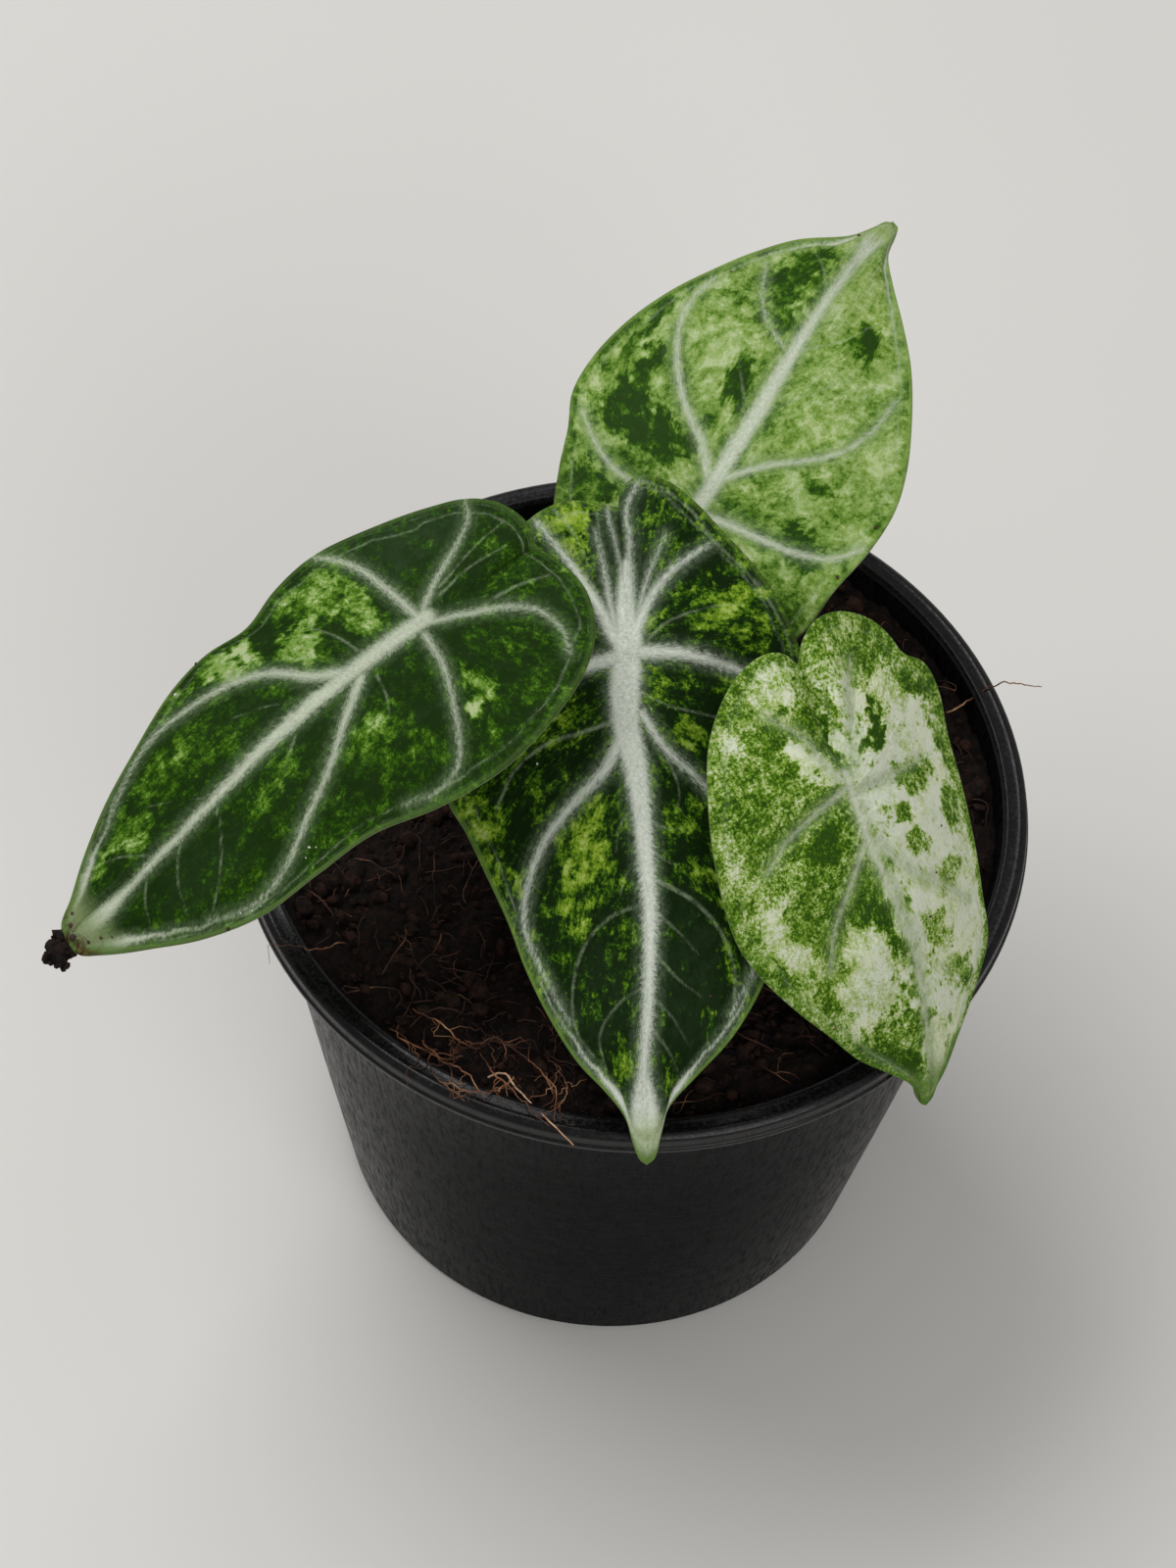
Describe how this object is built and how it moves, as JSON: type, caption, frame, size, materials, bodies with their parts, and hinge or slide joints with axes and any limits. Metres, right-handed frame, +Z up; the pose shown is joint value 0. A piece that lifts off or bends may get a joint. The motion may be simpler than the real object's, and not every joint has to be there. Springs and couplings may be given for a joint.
{
  "type": "potted ninja alocasia",
  "caption": "Small potted alocasia house plant with thick pale-veined, variegated shield-shaped leaves on short stems, in a round plastic nursery pot of coir.",
  "frame": {"origin": "centre of the pot's base, on the surface it stands on", "axes": "+Z up out of the pot, -Y towards the plant's front, where the largest leaf points"},
  "size_m": [0.1423, 0.1436, 0.1502],
  "materials": {
    "pot_plastic": "satin",
    "soil": "matte",
    "petiole": "satin",
    "blade_dark": "matte",
    "blade_variegated": "matte"
  },
  "bodies": {
    "root": {"pot": "pot_plastic", "soil": "soil", "petiole_left": "petiole", "blade_left": "blade_dark", "petiole_centre": "petiole", "blade_centre": "blade_dark", "petiole_right": "petiole", "blade_right": "blade_variegated", "petiole_back": "petiole", "blade_back": "blade_variegated", "soil_crumb": "soil"}
  },
  "joints": []
}
